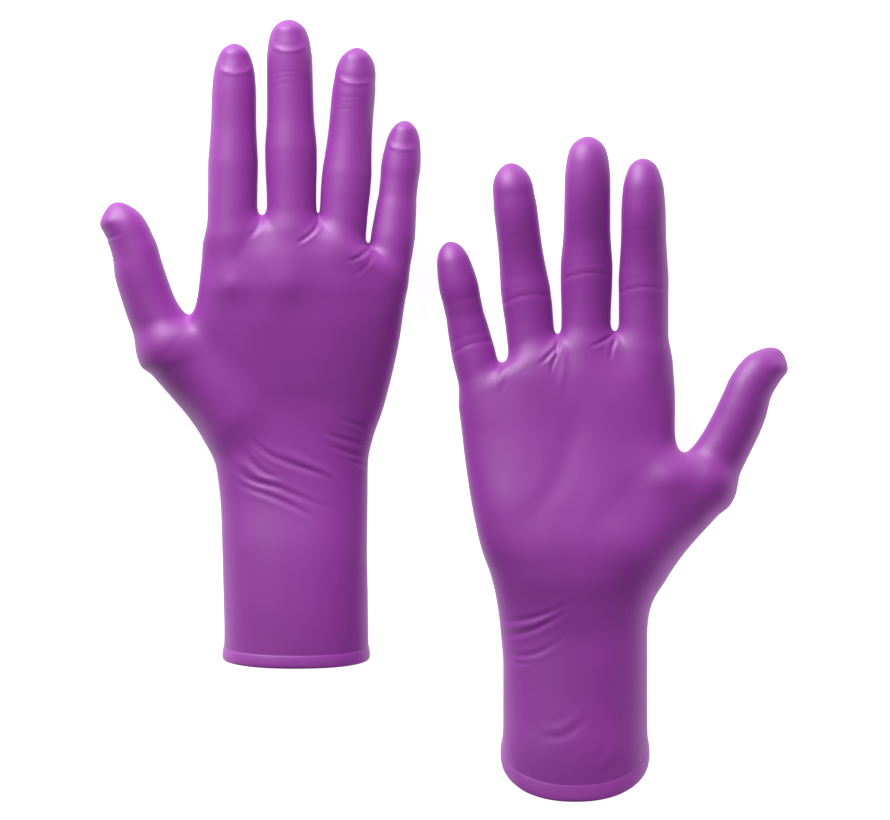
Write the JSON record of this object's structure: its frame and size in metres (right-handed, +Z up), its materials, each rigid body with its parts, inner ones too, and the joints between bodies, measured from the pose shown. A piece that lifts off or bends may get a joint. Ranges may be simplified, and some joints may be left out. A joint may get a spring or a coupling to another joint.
{
  "type": "pair of long-cuff disposable gloves",
  "caption": "Pair of thin elastic long-cuff gloves that keep the shape of a worn hand, palm down and palm up, open at the cuff, with fingers that bend.",
  "frame": {"origin": "on the table under the middle of the pair's bounding box", "axes": "+Y from the cuffs towards the fingertips, +X to the palm-up glove, +Z up from the table"},
  "size_m": [0.2971, 0.339, 0.0475],
  "materials": {
    "film": "satin purple nitrile film, slightly see-through in feel, smooth with fine stretch wrinkles",
    "bead": "the same purple film rolled over itself at the cuff"
  },
  "bodies": {
    "palm_down_hand": {"palm_down_hand": "film", "palm_down_wrist_fold": "film", "palm_down_index_base_fold": "film", "palm_down_middle_base_fold": "film", "palm_down_ring_base_fold": "film", "palm_down_little_base_fold": "film", "palm_down_thumb_base_fold": "film"},
    "palm_down_cuff": {"palm_down_cuff": "film", "palm_down_cuff_bead": "bead"},
    "palm_down_index_base": {"palm_down_index_base": "film", "palm_down_index_joint_fold": "film"},
    "palm_down_index_middle": {"palm_down_index_middle": "film"},
    "palm_down_index_tip": {"palm_down_index_tip": "film"},
    "palm_down_middle_base": {"palm_down_middle_base": "film", "palm_down_middle_joint_fold": "film"},
    "palm_down_middle_middle": {"palm_down_middle_middle": "film"},
    "palm_down_middle_tip": {"palm_down_middle_tip": "film"},
    "palm_down_ring_base": {"palm_down_ring_base": "film", "palm_down_ring_joint_fold": "film"},
    "palm_down_ring_middle": {"palm_down_ring_middle": "film"},
    "palm_down_ring_tip": {"palm_down_ring_tip": "film"},
    "palm_down_little_base": {"palm_down_little_base": "film", "palm_down_little_joint_fold": "film"},
    "palm_down_little_middle": {"palm_down_little_middle": "film"},
    "palm_down_little_tip": {"palm_down_little_tip": "film"},
    "palm_down_thumb_base": {"palm_down_thumb_base": "film", "palm_down_thumb_joint_fold": "film"},
    "palm_down_thumb_tip": {"palm_down_thumb_tip": "film"},
    "palm_up_hand": {"palm_up_hand": "film", "palm_up_wrist_fold": "film", "palm_up_index_base_fold": "film", "palm_up_middle_base_fold": "film", "palm_up_ring_base_fold": "film", "palm_up_little_base_fold": "film", "palm_up_thumb_base_fold": "film"},
    "palm_up_cuff": {"palm_up_cuff": "film", "palm_up_cuff_bead": "bead"},
    "palm_up_index_base": {"palm_up_index_base": "film", "palm_up_index_joint_fold": "film"},
    "palm_up_index_middle": {"palm_up_index_middle": "film"},
    "palm_up_index_tip": {"palm_up_index_tip": "film"},
    "palm_up_middle_base": {"palm_up_middle_base": "film", "palm_up_middle_joint_fold": "film"},
    "palm_up_middle_middle": {"palm_up_middle_middle": "film"},
    "palm_up_middle_tip": {"palm_up_middle_tip": "film"},
    "palm_up_ring_base": {"palm_up_ring_base": "film", "palm_up_ring_joint_fold": "film"},
    "palm_up_ring_middle": {"palm_up_ring_middle": "film"},
    "palm_up_ring_tip": {"palm_up_ring_tip": "film"},
    "palm_up_little_base": {"palm_up_little_base": "film", "palm_up_little_joint_fold": "film"},
    "palm_up_little_middle": {"palm_up_little_middle": "film"},
    "palm_up_little_tip": {"palm_up_little_tip": "film"},
    "palm_up_thumb_base": {"palm_up_thumb_base": "film", "palm_up_thumb_joint_fold": "film"},
    "palm_up_thumb_tip": {"palm_up_thumb_tip": "film"}
  },
  "joints": [
    {"name": "palm_down_pick_up", "type": "slide", "parent": "palm_up_hand", "child": "palm_down_hand", "axis": [0, 0, 1], "range_m": [0, 0.12]},
    {"name": "palm_down_wrist", "type": "hinge", "parent": "palm_down_hand", "child": "palm_down_cuff", "pos_m": [-0.065, -0.033, 0.01775], "axis": [-1, 0, 0], "range_deg": [0, 45], "deforming": ["palm_down_wrist_fold"]},
    {"name": "palm_down_index_base", "type": "hinge", "parent": "palm_down_hand", "child": "palm_down_index_base", "pos_m": [-0.09194, 0.08251, 0.014], "axis": [-0.9999, 0.0122, 0], "range_deg": [-15, 70], "deforming": ["palm_down_index_base_fold"]},
    {"name": "palm_down_index_middle", "type": "hinge", "parent": "palm_down_index_base", "child": "palm_down_index_middle", "pos_m": [-0.09162, 0.1085, 0.01181], "axis": [-0.9999, 0.0122, 0], "range_deg": [0, 75], "deforming": ["palm_down_index_joint_fold"]},
    {"name": "palm_down_index_tip", "type": "hinge", "parent": "palm_down_index_middle", "child": "palm_down_index_tip", "pos_m": [-0.09131, 0.1345, 0.00961], "axis": [-0.9999, 0.0122, 0], "range_deg": [0, 45]},
    {"name": "palm_down_middle_base", "type": "hinge", "parent": "palm_down_hand", "child": "palm_down_middle_base", "pos_m": [-0.06697, 0.08551, 0.014], "axis": [-0.9999, -0.0122, 0], "range_deg": [-15, 70], "deforming": ["palm_down_middle_base_fold"]},
    {"name": "palm_down_middle_middle", "type": "hinge", "parent": "palm_down_middle_base", "child": "palm_down_middle_middle", "pos_m": [-0.06729, 0.112, 0.01212], "axis": [-0.9999, -0.0122, 0], "range_deg": [0, 75], "deforming": ["palm_down_middle_joint_fold"]},
    {"name": "palm_down_middle_tip", "type": "hinge", "parent": "palm_down_middle_middle", "child": "palm_down_middle_tip", "pos_m": [-0.06767, 0.143, 0.00992], "axis": [-0.9999, -0.0122, 0], "range_deg": [0, 45]},
    {"name": "palm_down_ring_base", "type": "hinge", "parent": "palm_down_hand", "child": "palm_down_ring_base", "pos_m": [-0.04436, 0.07695, 0.0135], "axis": [-0.9969, 0.0785, 0], "range_deg": [-15, 70], "deforming": ["palm_down_ring_base_fold"]},
    {"name": "palm_down_ring_middle", "type": "hinge", "parent": "palm_down_ring_base", "child": "palm_down_ring_middle", "pos_m": [-0.04224, 0.10387, 0.0115], "axis": [-0.9969, 0.0785, 0], "range_deg": [0, 75], "deforming": ["palm_down_ring_joint_fold"]},
    {"name": "palm_down_ring_tip", "type": "hinge", "parent": "palm_down_ring_middle", "child": "palm_down_ring_tip", "pos_m": [-0.04004, 0.13178, 0.00943], "axis": [-0.9969, 0.0785, 0], "range_deg": [0, 45]},
    {"name": "palm_down_little_base", "type": "hinge", "parent": "palm_down_hand", "child": "palm_down_little_base", "pos_m": [-0.02355, 0.07033, 0.0125], "axis": [-0.9942, 0.108, 0], "range_deg": [-15, 70], "deforming": ["palm_down_little_base_fold"]},
    {"name": "palm_down_little_middle", "type": "hinge", "parent": "palm_down_little_base", "child": "palm_down_little_middle", "pos_m": [-0.0216, 0.08822, 0.01057], "axis": [-0.9942, 0.108, 0], "range_deg": [0, 75], "deforming": ["palm_down_little_joint_fold"]},
    {"name": "palm_down_little_tip", "type": "hinge", "parent": "palm_down_little_middle", "child": "palm_down_little_tip", "pos_m": [-0.01966, 0.10612, 0.00864], "axis": [-0.9942, 0.108, 0], "range_deg": [0, 45]},
    {"name": "palm_down_thumb_base", "type": "hinge", "parent": "palm_down_hand", "child": "palm_down_thumb_base", "pos_m": [-0.12519, 0.03963, 0.0135], "axis": [0, 0, -1], "range_deg": [-10, 18], "deforming": ["palm_down_thumb_base_fold"]},
    {"name": "palm_down_thumb_tip", "type": "hinge", "parent": "palm_down_thumb_base", "child": "palm_down_thumb_tip", "pos_m": [-0.13324, 0.06224, 0.0115], "axis": [0, 0, -1], "range_deg": [0, 42], "deforming": ["palm_down_thumb_joint_fold"]},
    {"name": "palm_up_wrist", "type": "hinge", "parent": "palm_up_hand", "child": "palm_up_cuff", "pos_m": [0.0565, -0.0935, 0.01925], "axis": [-1, 0, 0], "range_deg": [0, 45], "deforming": ["palm_up_wrist_fold"]},
    {"name": "palm_up_index_base", "type": "hinge", "parent": "palm_up_hand", "child": "palm_up_index_base", "pos_m": [0.0861, 0.0325, 0.0125], "axis": [1, 0, 0], "range_deg": [-15, 70], "deforming": ["palm_up_index_base_fold"]},
    {"name": "palm_up_index_middle", "type": "hinge", "parent": "palm_up_index_base", "child": "palm_up_index_middle", "pos_m": [0.0861, 0.0585, 0.01334], "axis": [1, 0, 0], "range_deg": [0, 75], "deforming": ["palm_up_index_joint_fold"]},
    {"name": "palm_up_index_tip", "type": "hinge", "parent": "palm_up_index_middle", "child": "palm_up_index_tip", "pos_m": [0.0861, 0.0845, 0.01419], "axis": [1, 0, 0], "range_deg": [0, 45]},
    {"name": "palm_up_middle_base", "type": "hinge", "parent": "palm_up_hand", "child": "palm_up_middle_base", "pos_m": [0.06162, 0.0345, 0.0125], "axis": [0.9999, -0.0105, 0], "range_deg": [-15, 70], "deforming": ["palm_up_middle_base_fold"]},
    {"name": "palm_up_middle_middle", "type": "hinge", "parent": "palm_up_middle_base", "child": "palm_up_middle_middle", "pos_m": [0.06189, 0.061, 0.01344], "axis": [0.9999, -0.0105, 0], "range_deg": [0, 75], "deforming": ["palm_up_middle_joint_fold"]},
    {"name": "palm_up_middle_tip", "type": "hinge", "parent": "palm_up_middle_middle", "child": "palm_up_middle_tip", "pos_m": [0.06222, 0.092, 0.01454], "axis": [0.9999, -0.0105, 0], "range_deg": [0, 45]},
    {"name": "palm_up_ring_base", "type": "hinge", "parent": "palm_up_hand", "child": "palm_up_ring_base", "pos_m": [0.03743, 0.02693, 0.012], "axis": [0.9947, 0.1028, 0], "range_deg": [-15, 70], "deforming": ["palm_up_ring_base_fold"]},
    {"name": "palm_up_ring_middle", "type": "hinge", "parent": "palm_up_ring_base", "child": "palm_up_ring_middle", "pos_m": [0.03465, 0.05379, 0.013], "axis": [0.9947, 0.1028, 0], "range_deg": [0, 75], "deforming": ["palm_up_ring_joint_fold"]},
    {"name": "palm_up_ring_tip", "type": "hinge", "parent": "palm_up_ring_middle", "child": "palm_up_ring_tip", "pos_m": [0.03177, 0.08164, 0.01404], "axis": [0.9947, 0.1028, 0], "range_deg": [0, 45]},
    {"name": "palm_up_little_base", "type": "hinge", "parent": "palm_up_hand", "child": "palm_up_little_base", "pos_m": [0.01445, 0.01868, 0.0115], "axis": [0.9789, 0.2045, 0], "range_deg": [-15, 70], "deforming": ["palm_up_little_base_fold"]},
    {"name": "palm_up_little_middle", "type": "hinge", "parent": "palm_up_little_base", "child": "palm_up_little_middle", "pos_m": [0.01077, 0.0363, 0.01214], "axis": [0.9789, 0.2045, 0], "range_deg": [0, 75], "deforming": ["palm_up_little_joint_fold"]},
    {"name": "palm_up_little_tip", "type": "hinge", "parent": "palm_up_little_middle", "child": "palm_up_little_tip", "pos_m": [0.00709, 0.05392, 0.01279], "axis": [0.9789, 0.2045, 0], "range_deg": [0, 45]},
    {"name": "palm_up_thumb_base", "type": "hinge", "parent": "palm_up_hand", "child": "palm_up_thumb_base", "pos_m": [0.11895, -0.0207, 0.0175], "axis": [0, 0, 1], "range_deg": [-10, 18], "deforming": ["palm_up_thumb_base_fold"]},
    {"name": "palm_up_thumb_tip", "type": "hinge", "parent": "palm_up_thumb_base", "child": "palm_up_thumb_tip", "pos_m": [0.12977, 0.00072, 0.0155], "axis": [0, 0, 1], "range_deg": [0, 42], "deforming": ["palm_up_thumb_joint_fold"]}
  ],
  "couplings": [
    {"joint": "palm_down_index_tip", "follows": "palm_down_index_middle", "ratio": 0.6},
    {"joint": "palm_down_middle_tip", "follows": "palm_down_middle_middle", "ratio": 0.6},
    {"joint": "palm_down_ring_tip", "follows": "palm_down_ring_middle", "ratio": 0.6},
    {"joint": "palm_down_little_tip", "follows": "palm_down_little_middle", "ratio": 0.6},
    {"joint": "palm_up_index_tip", "follows": "palm_up_index_middle", "ratio": 0.6},
    {"joint": "palm_up_middle_tip", "follows": "palm_up_middle_middle", "ratio": 0.6},
    {"joint": "palm_up_ring_tip", "follows": "palm_up_ring_middle", "ratio": 0.6},
    {"joint": "palm_up_little_tip", "follows": "palm_up_little_middle", "ratio": 0.6}
  ]
}
